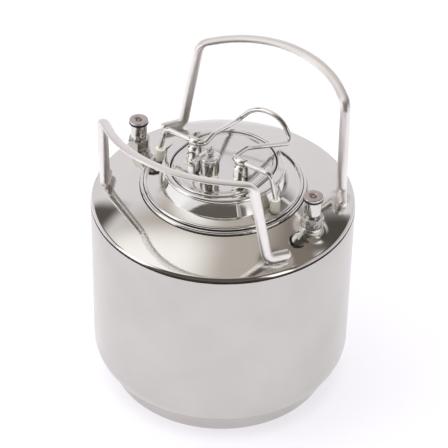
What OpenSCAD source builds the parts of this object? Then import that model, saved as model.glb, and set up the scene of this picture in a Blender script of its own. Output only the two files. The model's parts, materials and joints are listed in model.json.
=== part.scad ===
// Soda keg: a low stainless pressure vessel with an oval drop-in lid,
// a wire bail that locks the lid, a relief valve and two ball-lock posts.
// Origin at the centre of the foot ring's lower edge. +Z is up, +X points
// to the gas post, and the bail's lever lies towards +Y when it is locked.

/* [Vessel] */
// Outside diameter of the shell
shell_d = 232; // [230:0.5:234]
// Height of the seam between the shell and the top head
seam_z = 182.9; // [150:0.1:260]
// Sheet thickness of the shell and the heads
wall = 1.2; // [1.2:0.1:1.8]
// Height of the foot ring
foot_h = 16.6; // [16:0.1:22]

/* [Opening and lid] */
// Radius of the raised collar around the opening
collar_r = 55.6; // [55.5:0.1:56]
// Height of the raised collar above its deck
collar_h = 16.5; // [14:0.1:18]
// Radius of the opening's two round ends
opening_r = 43; // [42.5:0.1:43.2]
// Half the length of the opening's straight sides
opening_half = 6.2; // [5:0.1:6.4]

/* [Bail] */
// Diameter of the bail wire
bail_wire = 4.5; // [4:0.1:4.6]
// Height of the bail's pivot above the lid
pivot_rise = 19; // [18:0.5:21]
// Gap between the bail's feet and the deck
foot_gap = 0.4; // [0.3:0.05:0.6]

/* [Handles] */
// Diameter of the handle rod
handle_rod = 9; // [7:0.1:10]
// Height of the handle's upper bends above the seam
handle_rise = 95.6; // [80:0.2:110]

/* [Ball-lock posts] */
// Distance of each post from the keg's axis
post_x = 92.5; // [90:0.1:93]
// Diameter of the post's top flange
post_d = 17; // [16.5:0.1:17.2]

/* [Hidden] */
$fn = 64;
shell_r = shell_d / 2;

// top head: a shallow sphere that turns down into the shell by a knuckle
dome_r = 330;
neck_r = 71;
neck_z = seam_z + 17;
head_knuckle = 4;
function dome_z(r) = neck_z + sqrt(dome_r * dome_r - r * r) - sqrt(dome_r * dome_r - neck_r * neck_r);

// bottom head: a knuckle under the shell and a shallow crown
base_knuckle = 22;
foot_angle = 64.1;
base_knuckle_z = foot_h + base_knuckle * sin(foot_angle);

// deck, opening and lid
deck_z = neck_z + 5;
seat_z = deck_z + collar_h;
seat_under = seat_z - 2.4;
collar_wall = 2;
lip_r = 4;
lip_low = seat_z - lip_r - 0.6;
lid_gap = 1.7;
lid_r = opening_r - lid_gap;
lid_z = seat_z + 0.2;
lid_t = 1.5;
flange_r = opening_r + 3.2;
flange_z = seat_under - 4.9;
seal_r = 2.2;

// bail
pivot_y = -10;
pivot_z = lid_z + pivot_rise;
bracket_x = 24.6;
bracket_w = 8.5;
knuckle_r = bail_wire / 2 + 1.6;
sole_r = pivot_z - deck_z - foot_gap;
bail_foot_x = collar_r + 5.2;
bail_foot_r = 4.6;
bail_foot_top = pivot_z - 23;

// relief valve
prv_y = -21;
prv_cap_z = lid_z + 21.5;
prv_stem_r = 1.9;
prv_seat_z = lid_z - 12.5;
eye_z = prv_cap_z + 4.5;
ring_r = 10.5;
ring_wire = 1.5;
ring_slope = 45;

// posts
post_hex_z = neck_z - 0.8;
fitting_z = post_hex_z + 2.9;
post_top = neck_z + 29.4;
post_hex = [19.5, 17.5];
tube_r = 3.95;
dip_end = [neck_z - 45, 20];

// ---- shapes that repeat ----

// points along an arc round (cx, cy), from angle a0 to angle a1
function arc(cx, cy, r, a0, a1, n = 8) =
    [for (i = [0 : n]) let (a = a0 + (a1 - a0) * i / n) [cx + r * cos(a), cy + r * sin(a)]];
function unit(v) = v / norm(v);
function turn(a, b, c) = acos(unit(b - a) * unit(c - b));
function setback(a, b, c, r) = r * tan(turn(a, b, c) / 2);

// a profile of [radius, height] points turned about the keg's axis
module lathe(points) {
    rotate_extrude() polygon(points);
}

// a plain ring with a round section
module round_ring(r, section_r, z) {
    translate([0, 0, z]) rotate_extrude() translate([r, 0]) circle(section_r);
}

// a profile carried round the opening's oval: two half turns and two straights
module oval_sweep(points) {
    for (end = [0, 180])
        rotate(end) translate([0, opening_half, 0]) rotate_extrude(angle = 180) polygon(points);
    for (side = [0, 1])
        mirror([side, 0, 0]) rotate([90, 0, 0])
            linear_extrude(2 * opening_half, center = true) polygon(points);
}

// a straight length of rod from a to b
module straight(a, b, d) {
    v = b - a;
    translate(a) rotate([0, acos(v.z / norm(v)), atan2(v.y, v.x)]) cylinder(h = norm(v), d = d);
}

// the rounded corner at b of a rod that runs a, b, c
module elbow(a, b, c, r, d) {
    u = unit(b - a);
    axis = unit(cross(u, unit(c - b)));
    in = cross(axis, u);
    centre = b - u * setback(a, b, c, r) + in * r;
    multmatrix([[-in.x, u.x, axis.x, centre.x],
                [-in.y, u.y, axis.y, centre.y],
                [-in.z, u.z, axis.z, centre.z],
                [0, 0, 0, 1]])
        rotate_extrude(angle = turn(a, b, c)) translate([r, 0]) circle(d = d);
}

// a bent rod through points p, with bend radius r[i] at each inner point;
// the straights run a little way into the bends, which are a hair thicker
module bent_rod(p, r, d) {
    lap = 0.3;
    skin = 0.04;
    last = len(p) - 1;
    cut = [for (i = [0 : last])
        i == 0 || i == last ? 0 : setback(p[i - 1], p[i], p[i + 1], r[i]) - lap];
    for (i = [0 : last - 1]) {
        u = unit(p[i + 1] - p[i]);
        straight(p[i] + u * cut[i], p[i + 1] - u * cut[i + 1], d);
    }
    for (i = [1 : last - 1])
        elbow(p[i - 1], p[i], p[i + 1], r[i], d + skin);
}

// a six-sided bar with flats af apart
module hexagon(af, h) {
    cylinder(d = af / cos(30), h = h, $fn = 6);
}

// a helical spring of round wire standing on z = 0, as one swept tube
module coil_spring(r, wire, h, turns) {
    per_turn = 14;
    sides = 6;
    rings = per_turn * turns;
    points = [for (i = [0 : rings], k = [0 : sides - 1])
        let (a = 360 * i / per_turn, b = 360 * k / sides, rr = r + wire / 2 * cos(b))
        [rr * cos(a), rr * sin(a), wire / 2 + (h - wire) * i / rings + wire / 2 * sin(b)]];
    skin = [for (i = [0 : rings - 1], k = [0 : sides - 1])
        let (n = (k + 1) % sides)
        [i * sides + k, i * sides + n, (i + 1) * sides + n, (i + 1) * sides + k]];
    first = [for (k = [0 : sides - 1]) sides - 1 - k];
    end = [for (k = [0 : sides - 1]) rings * sides + k];
    polyhedron(points, concat(skin, [first], [end]), convexity = 10);
}

// ---- vessel ----

module foot_ring() {
    top = [shell_r - base_knuckle * (1 - cos(foot_angle)), foot_h];
    low = [top.x - 3, 2.2];
    color([0.78, 0.78, 0.77])
        lathe(concat([[top.x, top.y], [low.x, low.y]],
                     arc(low.x - 1.4, 1.4, 1.4, 0, -90, 4),
                     [[low.x - 3.2, 0], [low.x - 3.2, 1.6], [low.x - 1.8, 2.6], [top.x - 1.8, top.y - 1.1]]));
}

module bottom_head() {
    cx = shell_r - base_knuckle;
    crown_z = 9;
    top = base_knuckle_z + 4;
    outer = arc(cx, base_knuckle_z, base_knuckle, 0, -74, 12);
    inner = arc(cx, base_knuckle_z, base_knuckle - wall, -74, 0, 12);
    color([0.8, 0.8, 0.79])
        lathe(concat([[shell_r, top]], outer, [[50, crown_z + 3.2], [0, crown_z], [0, crown_z + wall],
                     [50, crown_z + 3.2 + wall]], inner, [[shell_r - wall, top]]));
}

module body_tube() {
    low = base_knuckle_z + 4;
    groove = 0.5;
    color([0.82, 0.81, 0.8])
        lathe([[shell_r - wall, low], [shell_r, low], [shell_r, seam_z - groove],
               [shell_r - groove, seam_z], [shell_r - wall, seam_z]]);
}

module top_head() {
    edge_r = 69;
    kx = shell_r - head_knuckle;
    reach = dome_r - head_knuckle;
    dome_centre = dome_z(0) - dome_r;
    kz = dome_centre + sqrt(reach * reach - kx * kx);
    slope = asin(kx / reach);
    steps = 20;
    crown = [for (i = [0 : steps]) let (a = slope + (asin(edge_r / dome_r) - slope) * i / steps)
        [sin(a), cos(a)]];
    last = len(crown) - 1;
    outer = [for (c = crown) [dome_r * c[0], dome_centre + dome_r * c[1]]];
    inner = [for (i = [last : -1 : 0])
        [(dome_r - wall) * crown[i][0], dome_centre + (dome_r - wall) * crown[i][1]]];
    color([0.86, 0.85, 0.84]) difference() {
        lathe(concat([[shell_r - wall, seam_z], [shell_r - 0.5, seam_z], [shell_r, seam_z + 0.3]],
                     arc(kx, kz, head_knuckle, 0, 88 - slope, 8), outer, inner,
                     arc(kx, kz, head_knuckle - wall, 88 - slope, 0, 8)));
        for (side = [-1, 1])
            translate([side * post_x, 0, neck_z - 20]) cylinder(r = 9.8, h = 30);
    }
}

module neck_collar() {
    inside = collar_r - collar_wall;
    color([0.86, 0.85, 0.84])
        lathe(concat([[69.8, dome_z(69.8)], [72.8, dome_z(72.8)]],
                     arc(71.1, neck_z + 1.2, 1.5, -20, 118, 6),
                     arc(67.9, deck_z - 1.5, 1.6, -28, 100, 6),
                     [[66.4, deck_z]],
                     arc(collar_r + 1.2, deck_z + 1.2, 1.2, -90, -180, 5),
                     [[collar_r, lip_low], [inside, lip_low], [inside, deck_z + 0.6]],
                     arc(inside + 2.4, deck_z + 0.6, 2.4, -180, -90, 5),
                     [[66.6, deck_z - 1.8], [69.2, neck_z + 1.2]]));
}

module lid_seat() {
    inside = collar_r - collar_wall;
    color([0.86, 0.85, 0.84]) difference() {
        lathe(concat([[0, seat_under]], arc(inside - 1.6, seat_under - 1.6, 1.6, 90, 0, 5),
                     [[inside, lip_low], [collar_r, lip_low]],
                     arc(collar_r - lip_r, seat_z - lip_r, lip_r, 0, 90, 8), [[0, seat_z]]));
        oval_sweep(concat([[0, seat_under - 1], [opening_r, seat_under - 1]],
                          arc(opening_r + 1.2, seat_z - 1.2, 1.2, 180, 90, 5),
                          [[opening_r + 1.2, seat_z + 1], [0, seat_z + 1]]));
    }
}

// one handle: two feet lying along the dome's rim, two leaning legs and a bowed grip
module handle(side) {
    base = [85.8, side * 57.1];
    foot = base + 18 * unit([abs(base.y), -side * base.x]);
    // the front grip stands a little lower and flatter than the back one
    low = side < 0 ? 1 : 0;
    top = [76.6 + 0.8 * low, side * 69.8, seam_z + handle_rise - 2.6 * low];
    bow_angle = 40 - 4 * low;
    bow_r = 105 - 2 * low;
    bow_tilt = 16.7 - 7.6 * low;
    bow_dir = [0, side * cos(bow_tilt), sin(bow_tilt)];
    sink = handle_rod / 2 - 0.4;
    foot_end = [foot.x, foot.y, dome_z(norm(foot)) + sink];
    foot_bend = [base.x, base.y, dome_z(norm(base)) + sink];
    apex = [0, top.y, top.z] + bow_dir * top.x * tan(bow_angle);
    flip = [[-1, 0, 0], [0, 1, 0], [0, 0, 1]];
    path = [foot_end, foot_bend, top, apex, flip * top, flip * foot_bend, flip * foot_end];
    color([0.84, 0.83, 0.81]) bent_rod(path, [0, 7, 10, bow_r, 10, 7, 0], handle_rod);
}

// ---- lid ----

module lid_plate() {
    inside = lid_r - lid_t;
    color([0.85, 0.84, 0.84]) difference() {
        oval_sweep(concat([[0, lid_z]], arc(lid_r - 1.8, lid_z - 1.8, 1.8, 90, 0, 5),
                          [[lid_r, flange_z], [flange_r, flange_z], [flange_r, flange_z - lid_t],
                           [inside, flange_z - lid_t], [inside, lid_z - lid_t - 0.6],
                           [inside - 0.6, lid_z - lid_t], [0, lid_z - lid_t]]));
        translate([0, prv_y, lid_z - 5]) cylinder(r = 6.1, h = 10);
    }
}

module lid_oring() {
    color([0.05, 0.05, 0.05])
        oval_sweep([for (i = [0 : 15]) let (a = 22.5 * i)
            [lid_r + seal_r + 0.1 + seal_r * cos(a), flange_z + seal_r + seal_r * sin(a)]]);
}

// a strip folded over the bail wire and welded to the lid by two feet
module lid_bracket(side) {
    t = 1.5;
    neck = 2.2;
    hip = 5;
    hip_z = 6.5;
    reach = 9.5;
    drop = knuckle_r + 1.2;
    half = [[neck, -knuckle_r + 0.6], [neck, -drop], [hip, -drop - 2.2],
            [hip + 0.4, -pivot_rise + t + 1], [hip + 1.4, -pivot_rise + t],
            [reach, -pivot_rise + t], [reach, -pivot_rise], [hip - 1, -pivot_rise],
            [hip - t, -drop - hip_z], [hip - t, -drop - 3.2], [0.8, -drop - 0.8]];
    other = [for (i = [len(half) - 1 : -1 : 0]) [-half[i].x, half[i].y]];
    color([0.82, 0.81, 0.8])
        translate([side * bracket_x, pivot_y, pivot_z]) rotate([90, 0, 90]) difference() {
            union() {
                cylinder(r = knuckle_r, h = bracket_w, center = true);
                linear_extrude(bracket_w, center = true) polygon(concat(half, other));
            }
            translate([0, 0, -bracket_w]) cylinder(r = bail_wire / 2 + 0.08, h = 2 * bracket_w);
        }
}

module on_prv() {
    translate([0, prv_y, 0]) children();
}

module prv_body() {
    color([0.74, 0.73, 0.7]) on_prv() difference() {
        union() {
            translate([0, 0, lid_z - 17]) cylinder(r = 6, h = 31);
            translate([0, 0, lid_z]) hexagon(15, 4.4);
        }
        translate([0, 0, prv_seat_z]) cylinder(r = 5, h = 40);
        translate([0, 0, lid_z - 20]) cylinder(r = 3, h = 20);
    }
}

module prv_cap() {
    low = lid_z + 4.6;
    scallops = 5;
    crown_r = 9.2;
    color([0.8, 0.79, 0.76]) on_prv() difference() {
        lathe(concat([[0, low], [8, low], [8.3, low + 0.3], [8.3, prv_cap_z - 6.2], [crown_r, prv_cap_z - 5.3]],
                     arc(crown_r - 1.2, prv_cap_z - 1.2, 1.2, 0, 90, 5), [[0, prv_cap_z]]));
        translate([0, 0, low - 1]) cylinder(r = 6.1, h = lid_z + 14.2 - low + 1);
        translate([0, 0, low]) cylinder(r = 5, h = prv_cap_z - 3.5 - low);
        translate([0, 0, low]) cylinder(r = prv_stem_r + 0.2, h = 30);
        for (i = [0 : scallops - 1])
            rotate(i * 360 / scallops + 20) translate([11, 0, prv_cap_z - 6.5]) cylinder(r = 3, h = 8);
        for (i = [0 : 2])
            rotate(i * 120 + 60) translate([0, 0, lid_z + 16.5]) rotate([0, 90, 0]) cylinder(r = 1.1, h = 12);
    }
}

module prv_nut() {
    color([0.75, 0.74, 0.72]) on_prv() difference() {
        translate([0, 0, lid_z - lid_t - 5.5]) hexagon(17, 4.3);
        translate([0, 0, lid_z - 10]) cylinder(r = 6.02, h = 10);
    }
}

module prv_gasket() {
    color([0.05, 0.05, 0.05]) on_prv() difference() {
        translate([0, 0, lid_z - lid_t - 1.2]) cylinder(r = 8.2, h = 1.2);
        translate([0, 0, lid_z - 10]) cylinder(r = 6.02, h = 10);
    }
}

module prv_stem() {
    eye_r = 3.1;
    eye_w = 2.2;
    color([0.78, 0.77, 0.74]) on_prv() difference() {
        union() {
            translate([0, 0, prv_seat_z + 1.4]) cylinder(r = prv_stem_r, h = prv_cap_z + 1.4 - prv_seat_z - 1.4);
            translate([0, 0, prv_seat_z + 1.4]) cylinder(r = 4.6, h = 2);
            translate([-eye_r, -eye_w / 2, prv_cap_z + 0.6]) cube([2 * eye_r, eye_w, eye_z - prv_cap_z - 0.6]);
            translate([0, eye_w / 2, eye_z]) rotate([90, 0, 0]) cylinder(r = eye_r, h = eye_w);
        }
        translate([0, 5, eye_z]) rotate([90, 0, 0]) cylinder(r = 1.9, h = 10);
    }
}

module prv_seal() {
    color([0.08, 0.08, 0.08]) on_prv()
        translate([0, 0, prv_seat_z + 0.05]) cylinder(r = 4.4, h = 1.35);
}

module prv_spring() {
    low = prv_seat_z + 3.5;
    color([0.7, 0.7, 0.7]) on_prv()
        translate([0, 0, low]) coil_spring(3.6, 0.9, prv_cap_z - 3.6 - low, 7);
}

module prv_pull_ring() {
    color([0.8, 0.8, 0.78])
        translate([0, prv_y, eye_z]) rotate([0, -ring_slope, 0]) translate([-ring_r, 0, 0])
            for (layer = [-1, 1])
                round_ring(ring_r, ring_wire / 2, layer * ring_wire * 0.45);
}

// ---- bail ----

module bail() {
    run = [for (s = [1, -1]) [
        [s * bail_foot_x, pivot_y, pivot_z - sole_r + 2.5], [s * bail_foot_x, pivot_y, bail_foot_top + 0.6],
        [s * 55.5, pivot_y, pivot_z], [s * 15, pivot_y, pivot_z],
        [s * 17.2, 8.5, pivot_z + 0.5], [s * 28.8, 62.4, pivot_z - 20.8], [s * 14.9, 67.8, pivot_z - 3]]];
    back = [for (i = [len(run[1]) - 1 : -1 : 0]) run[1][i]];
    color([0.83, 0.82, 0.8])
        bent_rod(concat(run[0], back), [0, 9, 6, 4.6, 12, 7, 27, 27, 7, 12, 4.6, 6, 9, 0], bail_wire);
}

// a plastic cap on the bail's leg, with its sole round about the pivot
module bail_foot(side) {
    low = pivot_z - sole_r;
    color([0.93, 0.91, 0.84]) difference() {
        intersection() {
            translate([side * bail_foot_x, pivot_y, low - 1])
                cylinder(r = bail_foot_r, h = bail_foot_top - low + 1);
            translate([side * bail_foot_x - 10, pivot_y, pivot_z])
                rotate([0, 90, 0]) cylinder(r = sole_r, h = 20);
        }
        translate([side * bail_foot_x, pivot_y, low + 2.4]) cylinder(d = bail_wire + 0.06, h = 20);
    }
}

// ---- ball-lock posts ----

module at_post(side) {
    translate([side * post_x, 0, 0]) children();
}

// the stub welded into the dome
module fitting(side) {
    color([0.8, 0.79, 0.77]) at_post(side) difference() {
        union() {
            translate([0, 0, post_hex_z - 9.2]) cylinder(r = 9.8, h = 9);
            translate([0, 0, post_hex_z - 4]) cylinder(r = 7.2, h = fitting_z - post_hex_z + 4);
        }
        translate([0, 0, neck_z - 20]) cylinder(r = 4.1, h = 40);
    }
}

// the screw-on post: flange, seal groove, barrel and hexagon
module post(side) {
    hex_z = post_hex_z;
    hex_h = 10;
    groove_r = post_d / 2 - 2.3;
    barrel_r = post_d / 2 - 1.3;
    af = side > 0 ? post_hex[0] : post_hex[1];
    color([0.76, 0.75, 0.72]) at_post(side) difference() {
        union() {
            lathe(concat([[0, hex_z + hex_h], [barrel_r - 0.5, hex_z + hex_h], [barrel_r - 0.5, hex_z + hex_h + 1.6],
                          [barrel_r, hex_z + hex_h + 2.4], [barrel_r, post_top - 4.5], [groove_r, post_top - 4.2],
                          [groove_r, post_top - 1.8], [post_d / 2 - 0.1, post_top - 1.8],
                          [post_d / 2, post_top - 1.7]],
                         arc(post_d / 2 - 0.6, post_top - 0.6, 0.6, 0, 90, 4), [[0, post_top]]));
            translate([0, 0, hex_z]) hexagon(af, hex_h);
        }
        translate([0, 0, hex_z - 1]) cylinder(r = 7.3, h = 8.4);
        translate([0, 0, hex_z]) cylinder(r = 4.7, h = post_top - 4 - hex_z);
        translate([0, 0, hex_z]) cylinder(r = 2.7, h = 40);
        if (side < 0)
            translate([0, 0, post_top - 12.5]) rotate([0, 90, -60]) cylinder(r = 0.9, h = 12);
        if (side > 0)
            for (i = [0 : 5])
                rotate(i * 60) translate([af / 2 / cos(30) + 0.5, 0, hex_z + hex_h / 2 - 0.75])
                    cylinder(r = 1.6, h = 1.5);
    }
}

module post_oring(side) {
    color([0.05, 0.05, 0.05]) at_post(side) round_ring(post_d / 2 - 1.15, 1.15, post_top - 3);
}

module poppet(side) {
    color([0.7, 0.66, 0.58]) at_post(side) {
        translate([0, 0, post_top - 12]) cylinder(r = 2, h = 11.4);
        translate([0, 0, post_top - 7.5]) cylinder(r = 4.2, h = 2);
    }
}

module poppet_seal(side) {
    color([0.06, 0.06, 0.06]) at_post(side) difference() {
        translate([0, 0, post_top - 5.5]) cylinder(r = 4, h = 1.3);
        translate([0, 0, post_top - 8]) cylinder(r = 2, h = 6);
    }
}

module poppet_spring(side) {
    low = fitting_z + 2.6;
    color([0.7, 0.7, 0.7]) at_post(side)
        translate([0, 0, low]) coil_spring(3.4, 0.7, post_top - 7.6 - low, 5);
}

module dip_tube(side) {
    low = side > 0 ? dip_end[0] : dip_end[1];
    color([0.8, 0.79, 0.77]) at_post(side) difference() {
        union() {
            translate([0, 0, low]) cylinder(r = tube_r, h = fitting_z + 1.6 - low);
            translate([0, 0, fitting_z + 1.6]) cylinder(r = 6.6, h = 0.9);
        }
        translate([0, 0, low - 1]) cylinder(r = tube_r - 0.8, h = 300);
    }
}

module tube_oring(side) {
    color([0.05, 0.05, 0.05]) at_post(side) round_ring(5.1, 0.8, fitting_z + 0.8);
}

foot_ring();
bottom_head();
body_tube();
top_head();
neck_collar();
lid_seat();
handle(-1);  // front_handle
handle(1);  // back_handle
lid_plate();
lid_oring();
lid_bracket(-1);  // lid_bracket_left
lid_bracket(1);  // lid_bracket_right
prv_body();
prv_cap();
prv_nut();
prv_gasket();
prv_stem();
prv_seal();
prv_spring();
prv_pull_ring();
bail();
bail_foot(-1);  // bail_foot_left
bail_foot(1);  // bail_foot_right
fitting(1);  // gas_fitting
post(1);  // gas_post
post_oring(1);  // gas_post_oring
poppet(1);  // gas_poppet
poppet_seal(1);  // gas_poppet_seal
poppet_spring(1);  // gas_poppet_spring
dip_tube(1);  // gas_dip_tube
tube_oring(1);  // gas_tube_oring
fitting(-1);  // liquid_fitting
post(-1);  // liquid_post
post_oring(-1);  // liquid_post_oring
poppet(-1);  // liquid_poppet
poppet_seal(-1);  // liquid_poppet_seal
poppet_spring(-1);  // liquid_poppet_spring
dip_tube(-1);  // liquid_dip_tube
tube_oring(-1);  // liquid_tube_oring
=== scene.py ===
import json
import math
import bpy
import bmesh
from mathutils import Matrix, Vector, noise


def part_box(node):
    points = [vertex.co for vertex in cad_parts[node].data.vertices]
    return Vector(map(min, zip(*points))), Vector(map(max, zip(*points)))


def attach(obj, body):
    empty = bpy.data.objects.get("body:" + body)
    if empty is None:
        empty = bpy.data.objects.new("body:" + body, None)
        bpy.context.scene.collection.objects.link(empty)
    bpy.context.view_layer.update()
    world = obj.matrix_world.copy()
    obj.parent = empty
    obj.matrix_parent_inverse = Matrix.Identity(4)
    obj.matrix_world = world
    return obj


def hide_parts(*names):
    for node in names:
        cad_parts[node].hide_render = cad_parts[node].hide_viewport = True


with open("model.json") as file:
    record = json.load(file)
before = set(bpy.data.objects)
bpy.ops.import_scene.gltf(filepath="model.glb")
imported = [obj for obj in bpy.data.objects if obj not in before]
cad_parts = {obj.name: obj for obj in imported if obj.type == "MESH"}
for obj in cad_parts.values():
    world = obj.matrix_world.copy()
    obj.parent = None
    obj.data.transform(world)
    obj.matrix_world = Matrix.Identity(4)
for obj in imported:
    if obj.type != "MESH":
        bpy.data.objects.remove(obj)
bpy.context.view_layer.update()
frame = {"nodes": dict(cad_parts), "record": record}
MM = 0.001

# ---- the CAD's own sizes, in millimetres and degrees ----
SHELL_R, SEAM_Z, WALL = 116.0, 182.9, 1.2
NECK_Z = SEAM_Z + 17.0
DECK_Z = NECK_Z + 5.0
SEAT_Z = DECK_Z + 16.5
SEAT_UNDER = SEAT_Z - 2.4
LID_Z = SEAT_Z + 0.2
OPEN_R, OPEN_H = 43.0, 6.2
DOME_R, NECK_R = 330.0, 71.0
HEAD_KNUCKLE = 4.0
FOOT_H, BASE_KNUCKLE, FOOT_ANGLE = 16.6, 22.0, 64.1
KNUCKLE_Z = FOOT_H + BASE_KNUCKLE * math.sin(math.radians(FOOT_ANGLE))
PIVOT_Y, PIVOT_Z = -10.0, LID_Z + 19.0
BRACKET_X, BAIL_X, WIRE = 24.6, 60.8, 4.5
HANDLE_ROD = 9.0
POST_X, HEX_Z, HEX_H, POST_TOP = 92.5, NECK_Z - 0.8, 10.0, NECK_Z + 29.4
PRV_Y, CAP_Z = -21.0, LID_Z + 21.5
EYE_Z = CAP_Z + 4.5

# ---- sizes of the visual model alone ----
LID_GAP = 0.95                                        # between the lid and the lip
LIP_R, WALL_FOOT_R, WALL_THICK = 51.9, 56.3, 1.2      # the collar's wall flares from the lip to the deck
DECK_FALL = 0.25                                      # the deck's fall per millimetre outwards
SEAM_GAP = 0.1                                        # between the shell and the dome
DOME_CUT_R = 69.0                                     # the dome's inner edge, under the collar
FLANGE_Z = SEAT_UNDER - 4.9                           # the top of the lid's flange, under the lip
BOW_FLAT = 0.40                                       # the handle bows' thickness over their width
BEAD_LUMP, BEAD_PITCH = 0.35, 1.7                     # a weld's unevenness and the length of its ripples


def dome_z(r):
    return NECK_Z + math.sqrt(DOME_R**2 - r * r) - math.sqrt(DOME_R**2 - NECK_R**2)


# ---- camera: the photograph's viewing angle ----
cam = bpy.data.objects.new("camera", bpy.data.cameras.new("camera"))
bpy.context.scene.collection.objects.link(cam)
cam.data.sensor_width, cam.data.lens = 36.0, 160.68
eye, aim, roll = Vector((0.78986, -1.13914, 1.25618)), Vector((0.00152, 0.0, 0.15552)), 1.275
cam.matrix_world = (Matrix.Translation(eye) @ (aim - eye).to_track_quat("-Z", "Y").to_matrix().to_4x4()
                    @ Matrix.Rotation(math.radians(roll), 4, "Z"))
cam.data.clip_end = 30
bpy.context.scene.camera = cam


# ---- materials ----

class Nodes:
    """Shorthand for a material's node tree."""

    def __init__(self, name):
        self.mat = bpy.data.materials.new(name)
        self.mat.use_nodes = True
        self.tree = self.mat.node_tree
        self.tree.nodes.clear()
        self.bsdf = self.add("ShaderNodeBsdfPrincipled")
        out = self.add("ShaderNodeOutputMaterial")
        self.link(self.bsdf.outputs[0], out.inputs[0])
        self.coord = self.add("ShaderNodeTexCoord").outputs["Object"]

    def add(self, kind, **props):
        node = self.tree.nodes.new(kind)
        for key, value in props.items():
            setattr(node, key, value)
        return node

    def link(self, a, b):
        self.tree.links.new(a, b)

    def scaled(self, scale, coord=None):
        node = self.add("ShaderNodeMapping")
        self.link(coord or self.coord, node.inputs[0])
        node.inputs["Scale"].default_value = scale
        return node.outputs[0]

    def round_coord(self):
        """(radius, angle, height) about the Z axis, for marks that run round a turned part."""
        xyz = self.add("ShaderNodeSeparateXYZ")
        self.link(self.coord, xyz.inputs[0])
        length = self.add("ShaderNodeVectorMath", operation="LENGTH")
        flat = self.add("ShaderNodeCombineXYZ")
        self.link(xyz.outputs[0], flat.inputs[0])
        self.link(xyz.outputs[1], flat.inputs[1])
        self.link(flat.outputs[0], length.inputs[0])
        angle = self.add("ShaderNodeMath", operation="ARCTAN2")
        self.link(xyz.outputs[1], angle.inputs[0])
        self.link(xyz.outputs[0], angle.inputs[1])
        out = self.add("ShaderNodeCombineXYZ")
        self.link(length.outputs["Value"], out.inputs[0])
        self.link(angle.outputs[0], out.inputs[1])
        self.link(xyz.outputs[2], out.inputs[2])
        return out.outputs[0]

    def noise(self, coord, scale, detail=3.0, rough=0.55):
        node = self.add("ShaderNodeTexNoise")
        self.link(coord, node.inputs["Vector"])
        node.inputs["Scale"].default_value = scale
        node.inputs["Detail"].default_value = detail
        node.inputs["Roughness"].default_value = rough
        return node.outputs[0]

    def ramp(self, fac, low, high, start=0.3, end=0.7):
        node = self.add("ShaderNodeMapRange")
        node.inputs["From Min"].default_value = start
        node.inputs["From Max"].default_value = end
        node.inputs["To Min"].default_value = low
        node.inputs["To Max"].default_value = high
        self.link(fac, node.inputs["Value"])
        return node.outputs[0]

    def colours(self, fac, low, high, start=0.3, end=0.7):
        node = self.add("ShaderNodeValToRGB")
        node.color_ramp.elements[0].position = start
        node.color_ramp.elements[0].color = (*low, 1)
        node.color_ramp.elements[1].position = end
        node.color_ramp.elements[1].color = (*high, 1)
        self.link(fac, node.inputs[0])
        return node.outputs[0]

    def bump(self, height, strength, distance, below=None):
        node = self.add("ShaderNodeBump")
        node.inputs["Strength"].default_value = strength
        node.inputs["Distance"].default_value = distance
        self.link(height, node.inputs["Height"])
        if below is not None:
            self.link(below, node.inputs["Normal"])
        return node.outputs[0]


def steel(name, low, high, rough, grain, grain_depth, wave=0.0, wave_scale=0.0, turned=False):
    """Stainless steel between two colours and two roughnesses. grain is the scale of its polishing lines along
    X, Y, Z, or along radius, angle, height where it is turned; wave is the slow unevenness of a pressed sheet."""
    n = Nodes(name)
    n.bsdf.inputs["Metallic"].default_value = 1.0
    patches = n.noise(n.scaled((1, 1, 1)), 18.0, 4.0)
    n.link(n.colours(patches, low, high), n.bsdf.inputs["Base Color"])
    smudge = n.noise(n.scaled((1, 1, 1.4)), 55.0, 5.0, 0.6)
    n.link(n.ramp(smudge, rough[0], rough[1]), n.bsdf.inputs["Roughness"])
    normal = None
    if wave:
        normal = n.bump(n.noise(n.scaled((1, 1, 1)), wave_scale, 1.0, 0.3), wave, 0.002)
    lines = n.noise(n.scaled(grain, n.round_coord() if turned else n.coord), 1.0, 4.0, 0.7)
    n.link(n.bump(lines, grain_depth, 0.0002, normal), n.bsdf.inputs["Normal"])
    return n.mat


satin = steel("satin_steel", (0.55, 0.53, 0.505), (0.60, 0.58, 0.555), (0.20, 0.27),
              (700, 3, 2600), 0.05, 0.03, 9.0, turned=True)
polished = steel("polished_steel", (0.73, 0.715, 0.69), (0.78, 0.765, 0.745), (0.035, 0.075),
                 (2400, 2, 700), 0.02, 0.05, 13.0, turned=True)
lid_steel = steel("lid_steel", (0.72, 0.705, 0.70), (0.77, 0.755, 0.75), (0.06, 0.11),
                  (300, 2600, 300), 0.02, 0.06, 22.0)
handle_steel = steel("handle_steel", (0.84, 0.81, 0.79), (0.90, 0.87, 0.85), (0.34, 0.42),
                     (900, 900, 260), 0.03, 0.12, 60.0)
wire_steel = steel("wire_steel", (0.72, 0.705, 0.68), (0.79, 0.775, 0.75), (0.06, 0.12),
                   (1200, 1200, 500), 0.03, 0.10, 90.0)
valve_steel = steel("valve_steel", (0.60, 0.58, 0.54), (0.68, 0.66, 0.62), (0.10, 0.20),
                    (200, 200, 3800), 0.10, 0.10, 160.0)
post_steel = steel("post_steel", (0.66, 0.645, 0.62), (0.74, 0.725, 0.70), (0.08, 0.16),
                   (200, 200, 3800), 0.08, 0.10, 160.0)
crown_steel = steel("crown_steel", (0.84, 0.82, 0.81), (0.90, 0.88, 0.87), (0.24, 0.34),
                    (300, 300, 2600), 0.06)
hex_steel = steel("hex_steel", (0.46, 0.44, 0.42), (0.56, 0.54, 0.51), (0.20, 0.30),
                  (200, 200, 3000), 0.10, 0.06, 160.0)
face_steel = steel("post_face", (0.50, 0.44, 0.43), (0.60, 0.54, 0.53), (0.30, 0.42),
                   (2500, 2500, 300), 0.15)
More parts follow.
